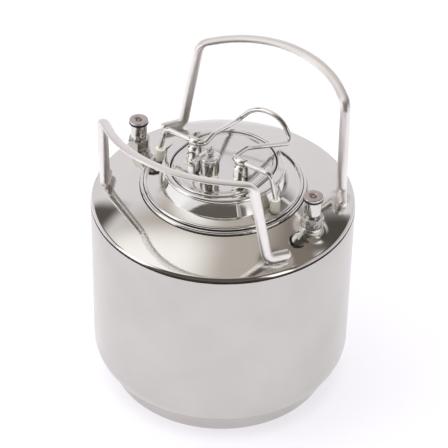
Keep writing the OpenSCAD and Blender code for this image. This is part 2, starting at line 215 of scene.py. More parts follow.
brass = steel("poppet_brass", (0.40, 0.32, 0.29), (0.50, 0.41, 0.37), (0.28, 0.38),
              (300, 300, 3000), 0.10)
spring = steel("spring_steel", (0.55, 0.55, 0.54), (0.66, 0.65, 0.64), (0.18, 0.3),
               (3000, 500, 500), 0.1)
# near-black steel for thin rings of painted shade laid into the seams and grooves
painted_shade = steel("painted_shade_line", (0.035, 0.028, 0.024), (0.06, 0.05, 0.045), (0.35, 0.5),
               (900, 900, 900), 0.2)
weld = steel("weld_bead", (0.58, 0.55, 0.50), (0.76, 0.74, 0.71), (0.12, 0.30),
             (900, 900, 900), 0.25, 0.5, 420.0)


def rubber():
    n = Nodes("black_rubber")
    n.link(n.colours(n.noise(n.scaled((1, 1, 1)), 140.0, 4.0), (0.006, 0.006, 0.006), (0.018, 0.017, 0.016)),
           n.bsdf.inputs["Base Color"])
    n.link(n.ramp(n.noise(n.scaled((1, 1, 1)), 300.0, 3.0), 0.32, 0.5), n.bsdf.inputs["Roughness"])
    n.link(n.bump(n.noise(n.scaled((1, 1, 1)), 1800.0, 3.0), 0.12, 0.0002), n.bsdf.inputs["Normal"])
    return n.mat


def ivory():
    n = Nodes("ivory_plastic")
    n.link(n.colours(n.noise(n.scaled((1, 1, 0.5)), 160.0, 3.0), (0.77, 0.73, 0.63), (0.86, 0.83, 0.75)),
           n.bsdf.inputs["Base Color"])
    n.bsdf.inputs["Subsurface Weight"].default_value = 0.35
    n.bsdf.inputs["Subsurface Radius"].default_value = (0.004, 0.003, 0.002)
    n.bsdf.inputs["Subsurface Scale"].default_value = 1.0
    n.link(n.ramp(n.noise(n.scaled((1, 1, 1)), 400.0, 2.0), 0.26, 0.4), n.bsdf.inputs["Roughness"])
    n.link(n.bump(n.noise(n.scaled((1, 1, 3)), 1200.0, 2.0), 0.08, 0.0002), n.bsdf.inputs["Normal"])
    return n.mat


black, ivory_plastic = rubber(), ivory()

SLOT_MATERIAL = {"satin_steel": satin, "polished_steel": polished, "handle_steel": handle_steel,
                 "wire_steel": wire_steel, "valve_steel": valve_steel, "spring_steel": spring,
                 "black_rubber": black, "ivory_plastic": ivory_plastic}
for part in frame["record"]["subparts"]:
    node_mesh = frame["nodes"][part["node"]].data
    pin = "poppet" in part["node"] and part["material_slot"] == "valve_steel"
    node_mesh.materials.clear()
    node_mesh.materials.append(brass if pin else SLOT_MATERIAL[part["material_slot"]])


# ---- mesh tools ----

def piece(name, verts, faces, material, body, nodes=(), sharp=32):
    """A mesh piece from millimetre vertices, smooth except at edges over the sharp angle."""
    mesh = bpy.data.meshes.new(name)
    mesh.from_pydata([Vector(v) * MM for v in verts], [], faces)
    bm = bmesh.new()
    bm.from_mesh(mesh)
    bmesh.ops.remove_doubles(bm, verts=bm.verts, dist=2e-6)
    bmesh.ops.dissolve_degenerate(bm, edges=bm.edges, dist=1e-6)
    bmesh.ops.recalc_face_normals(bm, faces=bm.faces)
    bm.to_mesh(mesh)
    bm.free()
    mesh.polygons.foreach_set("use_smooth", [True] * len(mesh.polygons))
    mesh.set_sharp_from_angle(angle=math.radians(sharp))
    mesh.materials.append(material)
    ob = bpy.data.objects.new(name, mesh)
    bpy.context.scene.collection.objects.link(ob)
    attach(ob, body)
    if nodes:
        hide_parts(*nodes)
    return ob


def grid(rows, wrap_rows, wrap_cols, caps=False):
    """Vertices and faces of rows of points joined row to row."""
    nr, nc = len(rows), len(rows[0])
    faces = []
    for i in range(nr if wrap_rows else nr - 1):
        for j in range(nc if wrap_cols else nc - 1):
            k, m = (i + 1) % nr, (j + 1) % nc
            faces.append((i * nc + j, i * nc + m, k * nc + m, k * nc + j))
    if caps:
        faces.append(tuple(range(nc - 1, -1, -1)))
        faces.append(tuple(range((nr - 1) * nc, nr * nc)))
    return [p for row in rows for p in row], faces


def rounded(points, closed=True, n=6):
    """A polyline of (x, y) or (x, y, fillet radius) with its fillets drawn."""
    out = []
    for i, p in enumerate(points):
        r = p[2] if len(p) > 2 else 0
        if r <= 0 or (not closed and i in (0, len(points) - 1)):
            out.append((p[0], p[1]))
            continue
        a, b, c = Vector(points[i - 1][:2]), Vector(p[:2]), Vector(points[(i + 1) % len(points)][:2])
        u, v = (a - b).normalized(), (c - b).normalized()
        half = u.angle(v) / 2
        d = min(r / math.tan(half), (a - b).length * 0.49, (c - b).length * 0.49)
        r = d * math.tan(half)
        centre = b + (u + v).normalized() * (r / math.sin(half))
        p0, p1 = b + u * d - centre, b + v * d - centre
        turn = math.atan2(p0.x * p1.y - p0.y * p1.x, p0.dot(p1))
        for k in range(n + 1):
            t = turn * k / n
            out.append((centre.x + p0.x * math.cos(t) - p0.y * math.sin(t),
                        centre.y + p0.x * math.sin(t) + p0.y * math.cos(t)))
    return out


def arc(cx, cy, r, a0, a1, n=8):
    return [(cx + r * math.cos(math.radians(a0 + (a1 - a0) * i / n)),
             cy + r * math.sin(math.radians(a0 + (a1 - a0) * i / n))) for i in range(n + 1)]


def polar(name, profile, material, body, slot, nodes=(), centre=(0, 0), seg=192, closed=True, sharp=32):
    """A turned form; profile(angle) gives its (radius, height) points at that angle."""
    rows = []
    for i in range(seg):
        a = 2 * math.pi * i / seg
        rows.append([(centre[0] + r * math.cos(a), centre[1] + r * math.sin(a), z) for r, z in profile(a)])
    verts, faces = grid(rows, True, closed)
    return piece(name, verts, faces, material, body, nodes, sharp)


def lathe(name, points, *args, **more):
    """A form turned from one outline of (radius, height) points."""
    return polar(name, lambda a: points, *args, **more)


def stadium(a, r):
    """Distance from the centre to the opening's oval at angle a, for end radius r."""
    s, c = abs(math.sin(a)), abs(math.cos(a))
    if c > 1e-9 and r / c * s <= OPEN_H:
        return r / c
    return OPEN_H * s + math.sqrt(r * r - (OPEN_H * c) ** 2)


def bend_path(points, radii, step=6.0):
    """Points along a path of straights joined by bends of the given radii."""
    pts = [Vector(p) for p in points]
    out = [pts[0]]
    for i in range(1, len(pts) - 1):
        a, b, c, r = pts[i - 1], pts[i], pts[i + 1], radii[i]
        u, v = (a - b).normalized(), (c - b).normalized()
        turn = math.pi - u.angle(v)
        d = r * math.tan(turn / 2)
        centre = b + (u + v).normalized() * (r / math.cos(turn / 2))
        p0, p1 = b + u * d - centre, b + v * d - centre
        n = max(4, int(math.degrees(turn) / step))
        axis = p0.cross(p1).normalized()
        for k in range(n + 1):
            out.append(centre + Matrix.Rotation(turn * k / n, 3, axis) @ p0)
    out.append(pts[-1])
    clean = [out[0]]
    for p in out[1:]:
        if (p - clean[-1]).length > 0.05:
            clean.append(p)
    return clean


def tangents(path):
    out = []
    for i in range(len(path)):
        a, b = path[max(0, i - 1)], path[min(len(path) - 1, i + 1)]
        out.append((b - a).normalized())
    return out


def sweep_rows(path, radius, cap):
    """Rings of one radius carried along a path, with domed ends cap long."""
    tans = tangents(path)
    ref = Vector((0, 0, 1)) if abs(tans[0].z) < 0.9 else Vector((1, 0, 0))
    side = tans[0].cross(ref).normalized()
    rows, sides, dome = [], 28, (20, 40, 58, 75, 90)
    for i, (p, t) in enumerate(zip(path, tans)):
        side = (side - t * side.dot(t)).normalized()
        up = t.cross(side)

        def ring(shift, grow):
            return [tuple(p + t * shift + (side * math.cos(2 * math.pi * k / sides)
                                           + up * math.sin(2 * math.pi * k / sides)) * radius * grow)
                    for k in range(sides)]

        def dome_ring(q, way):
            return ring(way * cap * math.sin(math.radians(q)), math.cos(math.radians(q)) * 0.999 + 0.001)
        if i == 0:
            rows += [dome_ring(q, -1) for q in reversed(dome)]
        rows.append(ring(0, 1))
        if i == len(path) - 1:
            rows += [dome_ring(q, 1) for q in dome]
    return rows


def rod(name, path, radius, material, body, nodes=(), cap=1.5):
    verts, faces = grid(sweep_rows(path, radius, cap), False, True, caps=True)
    return piece(name, verts, faces, material, body, nodes, 40)


def bead(name, path, radius, seed):
    """A weld on the keg: a low lumpy bead along a closed path."""
    rows, sides, length = [], 12, 0.0
    for i, p in enumerate(path):
        t = (path[(i + 1) % len(path)] - path[i - 1]).normalized()
        if i:
            length += (p - path[i - 1]).length
        side = t.cross(Vector((0, 0, 1))).normalized()
        up = side.cross(t)
        ripple = (1 + BEAD_LUMP * 0.4 * abs(math.sin(math.pi * length / BEAD_PITCH))
                  + BEAD_LUMP * 0.6 * noise.noise(p * 0.35 + Vector((seed, 0, 0))))
        r = radius * ripple
        rows.append([tuple(p + (side * math.cos(2 * math.pi * k / sides)
                                + up * 0.8 * math.sin(2 * math.pi * k / sides)) * r)
                     for k in range(sides)])
    verts, faces = grid(rows, True, True)
    return piece(name, verts, faces, weld, "keg", sharp=60)


# ---- vessel ----

knuckle_x = SHELL_R - BASE_KNUCKLE
shell_foot = KNUCKLE_Z + 4
shell_top = SEAM_Z - SEAM_GAP
lathe("shell", rounded([(SHELL_R - WALL, shell_foot), (SHELL_R, shell_foot), (SHELL_R, shell_top, 0.3),
                        (SHELL_R - WALL, shell_top)]), satin, "keg", "satin_steel", ["body_tube"], seg=256)
outer = arc(knuckle_x, KNUCKLE_Z, BASE_KNUCKLE, 0, -74, 24)
inner = arc(knuckle_x, KNUCKLE_Z, BASE_KNUCKLE - WALL, -74, 0, 24)
crown = [(r, 9 + 6.25 * (r / 100.06) ** 2) for r in (92, 80, 65, 50, 35, 20, 8, 0)]
lathe("bottom_head_skin", [(SHELL_R, shell_foot)] + outer + crown + [(r, z + WALL) for r, z in reversed(crown)]
      + inner + [(SHELL_R - WALL, shell_foot)],
      satin, "keg", "satin_steel", ["bottom_head"], seg=256, sharp=40)

# foot ring: it narrows downwards and stands on a rolled edge; a thin ring of painted shade marks its weld to the head
ring_r = SHELL_R - BASE_KNUCKLE * (1 - math.cos(math.radians(FOOT_ANGLE)))
lathe("foot_ring_skin",
      rounded([(ring_r, FOOT_H, 0.35), (ring_r - 3, 2.2, 2.0), (ring_r - 3.4, 0, 1.2), (ring_r - 6.2, 0, 0.7),
               (ring_r - 6.2, 1.6, 0.4), (ring_r - 4.8, 2.6, 1.0), (ring_r - 1.8, FOOT_H - 1.1)]),
      satin, "keg", "satin_steel", ["foot_ring"], seg=256)
# painted shade: a near-black ring in the crease above the foot ring
lathe("foot_seam_shade", arc(ring_r - 0.15, FOOT_H + 0.25, 0.42, 0, 345, 15),
      painted_shade, "keg", "satin_steel", seg=256, sharp=60)

# top head: rolled edge and shallow crown; the seam is a recess under its edge, with a near-black ring of painted
# shade in it
edge_x = SHELL_R - HEAD_KNUCKLE
reach = DOME_R - HEAD_KNUCKLE
dome_c = dome_z(0) - DOME_R
edge_z = dome_c + math.sqrt(reach**2 - edge_x**2)
outer_angle = math.degrees(math.asin(edge_x / reach))
inner_angle = math.degrees(math.asin(DOME_CUT_R / DOME_R))


def crown_arc(radius, a0, a1, steps):
    """Points of the dome's sphere between two angles from its top."""
    angles = [math.radians(a0 + (a1 - a0) * i / steps) for i in range(steps + 1)]
    return [(radius * math.sin(a), dome_c + radius * math.cos(a)) for a in angles]


crown_out = crown_arc(DOME_R, outer_angle, inner_angle, 56)
crown_in = crown_arc(DOME_R - WALL, inner_angle, outer_angle, 12)
# where the sheet is drawn: x, y, radius, softness and lift, up round the posts and down by the handle welds
pressed = [(side * POST_X, 0, 13.0, 3.0, 0.9) for side in (1, -1)]
for sx in (1, -1):
    for sy in (1, -1):
        pressed += [(sx * 87.8, sy * 54.0, 8.5, 3.5, -0.5), (sx * 92.8, sy * 46.5, 8.5, 3.5, -0.5)]


def dome_shape(a):
    """The dome's profile at an angle."""
    rows = []
    for r, z in crown_out:
        x, y, rise = r * math.cos(a), r * math.sin(a), 0.0
        for px, py, size, soft, lift in pressed:
            d = math.hypot(x - px, y - py)
            if d < size + 3 * soft:
                rise += lift / (1 + math.exp((d - size) / (soft * 0.4)))
        rows.append((r, z + rise))
    low, high = SEAM_Z + SEAM_GAP, SEAM_Z + 2.2
    recess = [(SHELL_R - WALL, low), (SHELL_R - 0.9, low), (SHELL_R - 0.9, high), (SHELL_R - 0.3, high)]
    return (recess + arc(edge_x, edge_z, HEAD_KNUCKLE, 20, 90 - outer_angle - 1, 12) + rows + crown_in
            + arc(edge_x, edge_z, HEAD_KNUCKLE - WALL, 90 - outer_angle, 0, 8))


polar("top_head_skin", dome_shape, polished, "keg", "polished_steel", ["top_head"], seg=512, sharp=50)
# painted shade: a thin near-black ring in the seam's recess
shade_in, shade_out, shade_low, shade_high = SHELL_R - 0.95, SHELL_R - 0.45, SEAM_Z + 0.1, SEAM_Z + 2.1
lathe("seam_shade", rounded([(shade_in, shade_low), (shade_out, shade_low, 0.2), (shade_out, shade_high, 0.2),
                            (shade_in, shade_high)]), painted_shade, "keg", "satin_steel", seg=256)


# collar: double ridge, a deck that falls outwards, and a wall that flares from the lip to the deck
def deck_z(r):
    return DECK_Z - 0.3 - DECK_FALL * (r - BAIL_X)


wall_foot_in = WALL_FOOT_R - WALL_THICK
ridges = arc(71.1, NECK_Z + 1.2, 1.55, -14, 110, 10) + arc(67.9, DECK_Z - 1.5, 1.65, -20, 128, 12)
deck_and_wall = rounded([(66.7, deck_z(66.2)), (65.6, deck_z(65.6), 0.8), (WALL_FOOT_R, deck_z(WALL_FOOT_R), 0.6),
                         (LIP_R, SEAT_Z - 2.6), (LIP_R - WALL_THICK, SEAT_Z - 2.6)], False)
underside = ([(wall_foot_in, DECK_Z + 0.6)] + arc(wall_foot_in + 2.4, DECK_Z + 0.6, 2.4, -180, -90, 6)
             + [(65.6, deck_z(65.6) - 1.8), (69.2, NECK_Z + 0.6)])
lathe("collar_skin", [(69.8, dome_z(69.8) + 0.05), (72.7, dome_z(72.7) + 0.05)] + ridges + deck_and_wall + underside,
      polished, "keg", "polished_steel", ["neck_collar"], seg=256, sharp=40)
# painted shade: thin near-black rings at the collar's foot and in the groove between its ridges
for name, r, z in (("collar_seam_shade", 72.85, dome_z(72.85)), ("ridge_groove_shade", 69.75, NECK_Z + 2.9)):
    lathe(name, arc(r, z, 0.38, 0, 345, 15), painted_shade, "keg", "polished_steel", seg=256, sharp=60)


def seat_profile(a):
    """The lip: an oval hole with a soft edge, a rolled outer edge."""
    hole, lip_in = stadium(a, OPEN_R), LIP_R - WALL_THICK
    return ([(hole, SEAT_UNDER), (hole, SEAT_Z - 0.9)] + arc(hole + 0.9, SEAT_Z - 0.9, 0.9, 180, 90, 6)
            + arc(LIP_R - 0.6, SEAT_Z - 2.2, 2.2, 88, -50, 18)
            + [(lip_in, SEAT_Z - 3.9), (lip_in, SEAT_UNDER + 0.1), (hole + 0.3, SEAT_UNDER)])


polar("lip_skin", seat_profile, polished, "keg", "polished_steel", ["lid_seat"], seg=288, sharp=40)

HANDLE_X, HANDLE_Y, HANDLE_FOOT = 85.8, 57.1, 18


def handle(side, label, top, bow_angle, bow_r, bow_tilt):
    """A bent rod on two feet that lie along the dome's rim; its bow is rolled flatter than its legs."""
    base = Vector((HANDLE_X, side * HANDLE_Y, 0))
    foot = base + Vector((HANDLE_Y, -side * HANDLE_X, 0)).normalized() * HANDLE_FOOT
    sink = HANDLE_ROD / 2 - 0.4
    foot.z = dome_z(foot.xy.length) + sink
    base.z = dome_z(base.xy.length) + sink
    tilt = math.radians(bow_tilt)
    rise = Vector((0, side * math.cos(tilt), math.sin(tilt)))
    apex = Vector((0, top.y, top.z)) + rise * (top.x * math.tan(math.radians(bow_angle)))
    flip = [Vector((-v.x, v.y, v.z)) for v in (top, base, foot)]
    rows = sweep_rows(bend_path([foot, base, top, apex] + flip, [0, 7, 10, bow_r, 10, 7, 0], 3.0),
                      HANDLE_ROD / 2, 3.2)
    # press the rings flat across the bow's plane, from 14 to 2 mm below its corners
    flat = Vector((0, -side * math.sin(tilt), math.cos(tilt)))
    for ring in rows:
        mid = sum((Vector(p) for p in ring), Vector()) / len(ring)
        t = min(1.0, max(0.0, (mid.z - top.z + 14) / 12))
        squash = (1 - BOW_FLAT) * t * t * (3 - 2 * t)
        for j, p in enumerate(ring):
            off = Vector(p) - mid
            ring[j] = tuple(mid + off - flat * off.dot(flat) * squash)
    verts, faces = grid(rows, False, True, caps=True)
    piece(label + "_rod", verts, faces, handle_steel, "keg", [label], 40)
    # weld metal round each foot, laid on the dome
    along = Vector((foot.x - base.x, foot.y - base.y, 0)).normalized()
    out = Vector((along.y, -along.x, 0))
    for sx, end in ((1, "right"), (-1, "left")):
        run = []
        for k in range(64):
            q = 2 * math.pi * k / 64
            spot = base + along * (9.8 + 9.2 * math.cos(q)) + out * 3.3 * math.sin(q)
            run.append(Vector((sx * spot.x, spot.y, dome_z(spot.xy.length) - 0.1)))
        bead(f"{label}_weld_{end}", run, 0.85, sx * 7 + side)


handle(-1, "front_handle", Vector((77.4, -69.8, SEAM_Z + 93.0)), 36, 103, 9.1)
handle(1, "back_handle", Vector((76.6, 69.8, SEAM_Z + 95.6)), 40, 105, 16.7)


# ---- lid ----

def lid_profile(a):
    """The lid: a plate with a shallow groove near its soft edge, a skirt and a flange that lies under the lip."""
    r, flange, t = stadium(a, OPEN_R - LID_GAP), stadium(a, OPEN_R + 2.2), 1.5
    plate = [(0, LID_Z)] + [(r * k, LID_Z) for k in (0.3, 0.6, 0.8)]
    groove = [(r - 5.2, LID_Z), (r - 4.4, LID_Z - 0.15), (r - 3.6, LID_Z - 0.2), (r - 2.8, LID_Z)]
    skirt = [(r, FLANGE_Z), (flange, FLANGE_Z), (flange, FLANGE_Z - t), (r - t, FLANGE_Z - t)]
    return (plate + groove + arc(r - 1.7, LID_Z - 1.7, 1.7, 90, 0, 9) + skirt
            + [(r - t, LID_Z - t - 0.6), (r - t - 0.6, LID_Z - t), (0, LID_Z - t)])


polar("lid_skin", lid_profile, lid_steel, "lid", "polished_steel", ["lid_plate"], seg=288, closed=False, sharp=40)


def seal_profile(a):
    """The lid's seal: a round ring under the lip, with a thin tongue that fills the gap round the lid."""
    r, low, top = stadium(a, OPEN_R - LID_GAP), FLANGE_Z + 0.05, SEAT_Z - 2.9
    return rounded([(r + 0.05, low, 0.3), (r + 2.3, low, 1.0), (r + 2.3, SEAT_UNDER - 0.45, 1.0),
                    (r + 0.8, SEAT_UNDER - 0.35, 0.3), (r + 0.75, top, 0.25), (r + 0.05, top, 0.25)], n=4)


polar("lid_seal", seal_profile, black, "lid", "black_rubber", ["lid_oring"], seg=240)


def bracket(side, label):
    """A strip folded over the bail wire: outline in the YZ plane, carried across its width with soft edges."""
    rise, t, loop_r, w = PIVOT_Z - LID_Z, 1.4, WIRE / 2 + 0.85, 4.25
    half = [(9.5, -rise + t / 2), (5.6, -rise + t / 2), (4.75, -rise + 2.4), (4.3, -loop_r - 3.7),
            (1.5, -loop_r - 1.6), (1.55, -loop_r - 0.2)]
    gap = math.degrees(math.asin(1.55 / loop_r)) + 6
    turns = [math.radians(-90 + gap + (360 - 2 * gap) * i / 26) for i in range(27)]
    loop = [Vector((0, loop_r * math.cos(q), loop_r * math.sin(q))) for q in turns]
    line = bend_path([(0, y, z) for y, z in half], [0, 1.6, 8, 1.6, 1.6, 0], 12)
    line = line + loop + [Vector((0, -p.y, p.z)) for p in reversed(line)]
    section = rounded([(-w, -t / 2, 0.35), (w, -t / 2, 0.35), (w, t / 2, 0.35), (-w, t / 2, 0.35)], n=2)
    pivot = Vector((side * BRACKET_X, PIVOT_Y, PIVOT_Z))
    rows = []
    for p, tan in zip(line, tangents(line)):
        nrm = Vector((1, 0, 0)).cross(tan).normalized()
        rows.append([tuple(pivot + p + Vector((x, 0, 0)) + nrm * y) for x, y in section])
    verts, faces = grid(rows, False, True, caps=True)
    piece(label + "_strip", verts, faces, wire_steel, "lid", [label], sharp=38)


bracket(-1, "lid_bracket_left")
bracket(1, "lid_bracket_right")

# ---- relief valve ----

def hex_profile(af, z0, z1, bore, notch=None, turn=0.0):
    """A chamfered hexagon's profile at each angle; af is its width across flats, notch a groove's radius."""
    def f(a):
        q = (a - turn) % (math.pi / 3) - math.pi / 6
        r = af / 2 / math.cos(q)
        rc = af / 2 * 0.985
        drop = max(0.0, r - rc) * 0.6
        mid = []
        if notch:
            zm, rn = (z0 + z1) / 2, min(r, notch)
            mid = [(r, zm - 0.9), (rn, zm - 0.55), (rn, zm + 0.55), (r, zm + 0.9)]
        return [(bore, z0), (rc, z0), (r, z0 + drop)] + mid + [(r, z1 - drop), (rc, z1), (bore, z1)]
    return f


prv = (0.0, PRV_Y)
SHANK_LOW, SEAT_LOW, SHANK_TOP = LID_Z - 17, LID_Z - 12.5, LID_Z + 14
polar("prv_hex", hex_profile(15.0, LID_Z, LID_Z + 4.4, 4.9), valve_steel, "lid", "valve_steel", ["prv_body"],
      centre=prv, seg=144, sharp=24)
lathe("prv_shank", rounded([(3.0, SHANK_LOW, 0.3), (5.9, SHANK_LOW, 0.6), (5.9, SHANK_TOP), (4.9, SHANK_TOP),
                            (4.9, SEAT_LOW), (3.0, SEAT_LOW)]), valve_steel, "lid", "valve_steel", centre=prv, seg=64)
CAP_LOW, CAP_R = LID_Z + 4.6, 8.3


def cap_profile(a):
    """The valve's cap: a plain skirt under a crown with five scallops, dished round the stem."""
    lobe = 0.5 + 0.5 * math.cos(5 * (a - math.radians(20 + 36)))
    r = 8.15 + 1.05 * lobe**0.6
    skirt = [(6.2, CAP_LOW), (7.9, CAP_LOW), (CAP_R, CAP_LOW + 0.4), (CAP_R, CAP_Z - 6.3),
             (CAP_R + (r - CAP_R) * 0.5, CAP_Z - 5.9), (r, CAP_Z - 5.2), (r, CAP_Z - 1.6)]
    dish = [(4.2, CAP_Z), (3.4, CAP_Z - 0.8), (2.1, CAP_Z - 0.8), (2.1, CAP_Z - 3.5), (5.0, CAP_Z - 3.5)]
    return skirt + arc(r - 1.5, CAP_Z - 1.5, 1.5, 0, 90, 5) + dish + [(5.0, SHANK_TOP + 0.3), (6.2, SHANK_TOP + 0.3)]


def recolour(ob, material, chosen):
    """Gives a second material to the faces that are chosen."""
    ob.data.materials.append(material)
    for poly in ob.data.polygons:
        if chosen(poly):
            poly.material_index = 1


cap_ob = polar("prv_crown", cap_profile, valve_steel, "lid", "valve_steel", ["prv_cap"],
               centre=prv, seg=160, sharp=34)
recolour(cap_ob, crown_steel, lambda poly: poly.center.z > (CAP_Z - 6.1) * MM)
stem_low = SEAT_LOW + 1.4
lathe("prv_rod", rounded([(0, stem_low), (4.6, stem_low, 0.3), (4.6, stem_low + 2, 0.3), (1.9, stem_low + 2),
                          (1.9, CAP_Z + 0.9, 0.2), (2.7, CAP_Z + 1.1, 0.2), (2.7, CAP_Z + 1.8, 0.3),
                          (0, CAP_Z + 1.9)], False),
      valve_steel, "relief_stem", "valve_steel", ["prv_stem"], centre=prv, seg=48, closed=False)

# the stem's eye, a ring in the XZ plane
EYE_R = 2.45
rows = []
for k in range(40):
    turn = 2 * math.pi * k / 40
    p = Vector((EYE_R * math.sin(turn), PRV_Y, EYE_Z - EYE_R * math.cos(turn)))
    out = (p - Vector((0, PRV_Y, EYE_Z))).normalized()
    rows.append([tuple(p + out * 0.62 * math.cos(q) + Vector((0, 1.05 * math.sin(q), 0)))
                 for q in [2 * math.pi * j / 14 for j in range(14)]])
verts, faces = grid(rows, True, True)
piece("prv_eye", verts, faces, valve_steel, "relief_stem", sharp=50)
lathe("prv_eye_neck", rounded([(0, CAP_Z + 1.5), (1.5, CAP_Z + 1.5), (1.05, EYE_Z - 2.5), (0, EYE_Z - 2.5)], False),
      valve_steel, "relief_stem", "valve_steel", centre=prv, seg=32, closed=False)

# split ring: nearly two turns of wire that lie on each other, tilted by 45 degrees
RING_R, RING_WIRE = 10.5, 1.4
tilt = math.radians(45)
across = Vector((-math.cos(tilt), 0, -math.sin(tilt)))
over = Vector((-math.sin(tilt), 0, math.cos(tilt)))
ring_centre = Vector((0, PRV_Y, EYE_Z)) + across * RING_R
coil = []
for k in range(181):
    a = math.radians(30 + 700 * k / 180)
    shift = -0.69 + 1.38 * min(1.0, max(0.0, (k / 180 - 0.44) / 0.12))
    coil.append(ring_centre - across * RING_R * math.cos(a) + Vector((0, 1, 0)) * RING_R * math.sin(a) + over * shift)
rod("pull_ring_coil", coil, RING_WIRE / 2, wire_steel, "pull_ring", ["prv_pull_ring"], cap=0.3)

# ---- bail ----

half = [(BAIL_X, PIVOT_Y, PIVOT_Z - 32.8), (BAIL_X, PIVOT_Y, PIVOT_Z - 22.4), (55.5, PIVOT_Y, PIVOT_Z),
        (15, PIVOT_Y, PIVOT_Z), (17.2, 8.5, PIVOT_Z + 0.5), (28.8, 62.4, PIVOT_Z - 20.8), (14.9, 67.8, PIVOT_Z - 3.0)]
half_bends = [0, 9, 6, 4.6, 12, 7, 27]
rod("bail_wire", bend_path(half + [(-x, y, z) for x, y, z in reversed(half)], half_bends + half_bends[::-1], 5),
    WIRE / 2, wire_steel, "bail_lever", ["bail"], cap=0.6)


def bail_foot(side, label):
    """A plastic cap on the bail's leg; its sole follows the deck's slope."""
    top, bore, bore_low = PIVOT_Z - 23.0, 2.3, DECK_Z + 3.2

    def profile(a):
        sole = [(r, deck_z(BAIL_X + r * math.cos(a) * side) + 0.2 + z)
                for r, z in ((0, 0), (2, 0), (3.9, 0), (4.3, 0.15), (4.5, 0.5))]
        return (sole + [(4.6, DECK_Z + 4), (4.35, top - 0.8)] + arc(3.55, top - 0.8, 0.8, 0, 90, 5)
                + arc(2.85, top - 0.4, 0.4, 90, 180, 4) + [(bore, top - 1.5), (bore, bore_low), (0, bore_low)])
    polar(label + "_cap", profile, ivory_plastic, "bail_lever", "ivory_plastic", [label],
          centre=(side * BAIL_X, PIVOT_Y), seg=64, closed=False)


bail_foot(-1, "bail_foot_left")
bail_foot(1, "bail_foot_right")

# ---- posts ----

HEX_AF, NOTCH_R, BARREL_R, FLANGE_R, MOUTH_R = 17.5, 9.05, 7.2, 8.45, 2.7


def post(side, label):
    """A ball-lock post: hexagon, barrel with its flange and O-ring, poppet pin, fitting and its weld."""
    at = (side * POST_X, 0.0)
    hex_top, top = HEX_Z + HEX_H, POST_TOP
    notch, turn = (NOTCH_R, math.radians(30)) if side > 0 else (None, 0.0)
    polar(label + "_post_hex", hex_profile(HEX_AF, HEX_Z, hex_top, 7.3, notch, turn),
          hex_steel, "keg", "valve_steel", [label + "_post"], centre=at, seg=144, sharp=24)
    barrel = lathe(
        label + "_post_barrel",
        rounded([(7.25, hex_top - 2.6), (7.25, hex_top - 0.05), (6.7, hex_top - 0.05, 0.2), (6.7, hex_top + 1.5, 0.4),
                 (BARREL_R, hex_top + 2.4, 0.5), (BARREL_R, top - 4.5, 0.2), (6.2, top - 4.2, 0.2),
                 (6.2, top - 1.8, 0.1), (FLANGE_R, top - 1.8, 0.15), (FLANGE_R, top - 0.1, 0.9), (4.4, top, 0.3),
                 (3.1, top - 0.5, 0.3), (MOUTH_R, top - 0.9), (MOUTH_R, top - 4), (4.7, top - 4),
                 (4.7, hex_top - 2.6)], n=4),
        post_steel, "keg", "valve_steel", centre=at, seg=96, sharp=34)
    recolour(barrel, face_steel, lambda poly: poly.center.z > (top - 1.0) * MM and poly.normal.z > 0.6)
    # poppet: a dished pin in the middle of the post's mouth
    lathe(label + "_poppet_pin",
          rounded([(0, top - 12), (2.0, top - 12), (2.0, top - 7.5), (4.2, top - 7.5, 0.3), (4.2, top - 5.5),
                   (2.0, top - 5.5), (2.0, top - 0.6, 0.5), (0.9, top - 0.6, 0.2), (0.5, top - 1.0),
                   (0, top - 1.0)], False, 4),
          brass, label + "_valve", "valve_steel", [label + "_poppet"], centre=at, seg=48, closed=False)
    low, high = (corner.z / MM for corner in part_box(label + "_fitting"))
    lathe(label + "_fitting_skin", rounded([(4.1, low), (9.6, low), (9.6, HEX_Z - 0.2, 0.6), (7.15, HEX_Z - 0.2),
                                            (7.15, high, 0.4), (4.1, high)]),
          post_steel, "keg", "valve_steel", [label + "_fitting"], centre=at, seg=64)
    turns = [2 * math.pi * k / 24 for k in range(24)]
    lathe(label + "_ring", [(7.4 + 1.25 * math.cos(q), top - 3.15 + 1.25 * math.sin(q)) for q in turns],
          black, "keg", "black_rubber", [label + "_post_oring"], centre=at, seg=96, sharp=60)
    run = []
    for k in range(72):
        a = 2 * math.pi * k / 72
        x, y = at[0] + 9.7 * math.cos(a), 9.7 * math.sin(a)
        run.append(Vector((x, y, dome_z(math.hypot(x, y)) + 0.2)))
    bead(label + "_weld", run, 0.9, side * 3.0)


post(1, "gas")
post(-1, "liquid")

# the side port of the liquid post, on the side that faces the camera, drawn as a flush black disc of painted shade
port = Vector((-POST_X, 0, POST_TOP - 12.5))
way = Vector((math.cos(math.radians(-60)), math.sin(math.radians(-60)), 0))
rod("liquid_port_shade", [port + way * 6.6, port + way * 7.26], 0.95, black, "keg", cap=0.02)

# ---- floor and light ----

FLOOR_HALF = 12
floor = bpy.data.meshes.new("floor")
floor.from_pydata([(x * FLOOR_HALF, y * FLOOR_HALF, 0) for x, y in ((-1, -1), (1, -1), (1, 1), (-1, 1))],
                  [], [(0, 1, 2, 3)])
floor_ob = bpy.data.objects.new("floor", floor)
bpy.context.scene.collection.objects.link(floor_ob)
paper = Nodes("floor_paper")
paper.link(paper.colours(paper.noise(paper.scaled((1, 1, 1)), 2.0, 2.0), (0.90, 0.89, 0.93), (0.92, 0.91, 0.95)),
           paper.bsdf.inputs["Base Color"])
paper.bsdf.inputs["Roughness"].default_value = 0.9
paper.bsdf.inputs["Specular IOR Level"].default_value = 0.0
floor.materials.append(paper.mat)

world = bpy.data.worlds.new("studio")
bpy.context.scene.world = world
world.use_nodes = True
wt = world.node_tree
wt.nodes.clear()


def wnode(kind, **props):
    node = wt.nodes.new(kind)
    for key, value in props.items():
        setattr(node, key, value)
    return node


def wmath(op, a, b=None):
    node = wnode("ShaderNodeMath", operation=op)
    for i, v in enumerate((a, b)):
        if v is None:
            continue
        if isinstance(v, (int, float)):
            node.inputs[i].default_value = v
        else:
            wt.links.new(v, node.inputs[i])
    return node.outputs[0]


